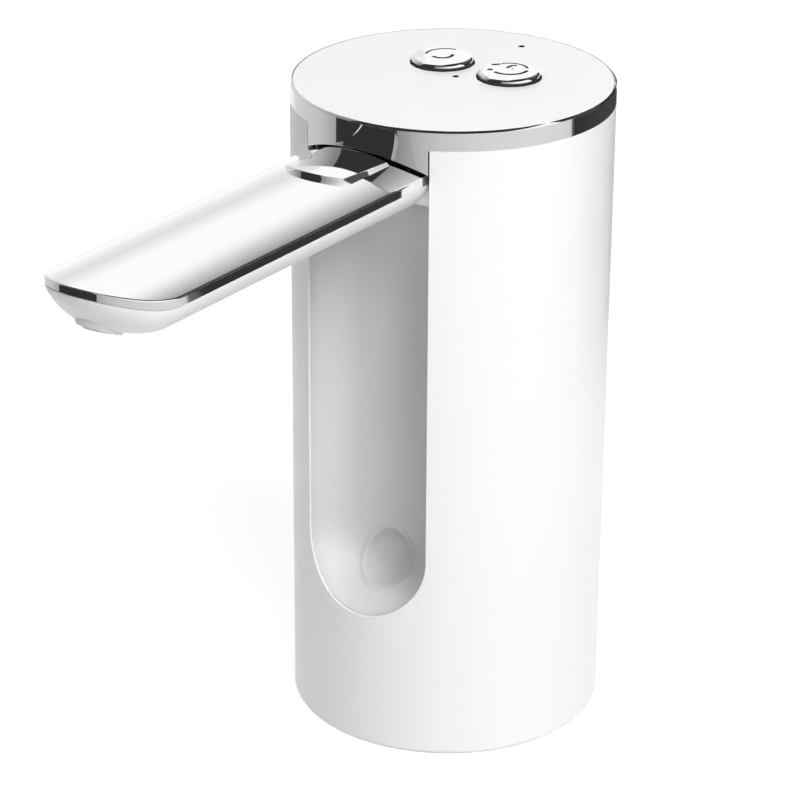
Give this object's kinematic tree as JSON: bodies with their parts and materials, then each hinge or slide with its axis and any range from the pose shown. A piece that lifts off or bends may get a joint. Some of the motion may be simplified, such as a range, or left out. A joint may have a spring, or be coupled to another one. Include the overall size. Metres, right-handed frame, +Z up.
{
  "type": "electric water jug pump",
  "caption": "Round rechargeable pump that sits on the neck of a large water jug, with push buttons on top and a chrome-covered spout that folds down flush into its front.",
  "frame": {"origin": "centre of the base, where the jug's axis meets the mouth of the neck socket", "axes": "+Z up along the jug's axis, -Y towards the front, where the spout points, +X to the right as seen from the front"},
  "size_m": [0.07, 0.1602, 0.1483],
  "materials": {
    "white_shell": "moulded, semi-gloss white",
    "chrome_trim": "bright chrome plating on plastic",
    "collar_plastic": "plain moulded",
    "silicone": "soft white silicone",
    "fitting_plastic": "plain moulded",
    "clear_hose": "translucent silicone hose",
    "dark_rubber": "matt",
    "pump_plastic": "glass-filled, matt",
    "gear_plastic": "natural acetal",
    "steel": "plain bright",
    "motor_steel": "drawn and plated",
    "magnet": "ferrite, matt",
    "bronze": "sintered, plain",
    "armature": "lacquered copper winding on laminations",
    "cell_wrap": "shrink sleeve",
    "board_green": "solder mask",
    "black_plastic": "moulded",
    "led": "clear resin",
    "lead_wrap": "insulated wire"
  },
  "bodies": {
    "housing": {"body_shell": "white_shell", "recess_tray": "white_shell", "top_cap": "white_shell", "trim_ring": "chrome_trim", "jug_collar": "collar_plastic", "chassis": "collar_plastic", "stem_nut": "collar_plastic", "neck_seal": "silicone", "intake_stem": "fitting_plastic", "hose_union": "fitting_plastic", "motor_endcap": "fitting_plastic", "friction_washers": "fitting_plastic", "outlet_hose": "clear_hose", "hinge_hose": "clear_hose", "stem_gasket": "dark_rubber", "shaft_seal": "dark_rubber", "pump_body": "pump_plastic", "pump_cover": "pump_plastic", "base_screws": "steel", "pump_screws": "steel", "board_screws": "steel", "idler_pin": "steel", "hinge_pins": "steel", "usb_socket": "steel", "motor_can": "motor_steel", "motor_magnets": "magnet", "motor_bushes": "bronze", "motor_terminals": "bronze", "battery_cell": "cell_wrap", "charge_board": "board_green", "control_board": "board_green", "switch_bodies": "black_plastic", "light_guides": "black_plastic", "status_leds": "led", "motor_leads": "lead_wrap", "battery_leads": "lead_wrap"},
    "spout": {"spout_cover": "chrome_trim", "spout_shell": "white_shell", "spout_tube": "clear_hose", "nozzle": "silicone", "nozzle_insert": "fitting_plastic", "hinge_bushes": "bronze"},
    "left_button": {"left_button": "chrome_trim", "left_plunger": "black_plastic"},
    "right_button": {"right_button": "chrome_trim", "right_plunger": "black_plastic"},
    "pump_drive": {"motor_shaft": "steel", "motor_armature": "armature", "drive_gear": "gear_plastic"},
    "pump_idler": {"driven_gear": "gear_plastic"}
  },
  "joints": [
    {"name": "spout_fold", "type": "hinge", "parent": "housing", "child": "spout", "pos_m": [0, -0.0265, 0.1315], "axis": [1, 0, 0], "range_deg": [0, 90], "deforming": ["hinge_hose"]},
    {"name": "left_button_press", "type": "slide", "parent": "housing", "child": "left_button", "axis": [0, 0, -1], "range_m": [0, 0.0008], "stiffness_N_per_m": 500},
    {"name": "right_button_press", "type": "slide", "parent": "housing", "child": "right_button", "axis": [0, 0, -1], "range_m": [0, 0.0008], "stiffness_N_per_m": 500},
    {"name": "pump_drive_spin", "type": "hinge", "parent": "housing", "child": "pump_drive", "pos_m": [0.0048, 0.0135, 0.035], "axis": [0, 0, 1], "continuous": true},
    {"name": "pump_idler_spin", "type": "hinge", "parent": "housing", "child": "pump_idler", "pos_m": [-0.0048, 0.0135, 0.035], "axis": [0, 0, 1], "continuous": true}
  ],
  "couplings": [
    {"joint": "pump_idler_spin", "follows": "pump_drive_spin", "ratio": -1}
  ]
}
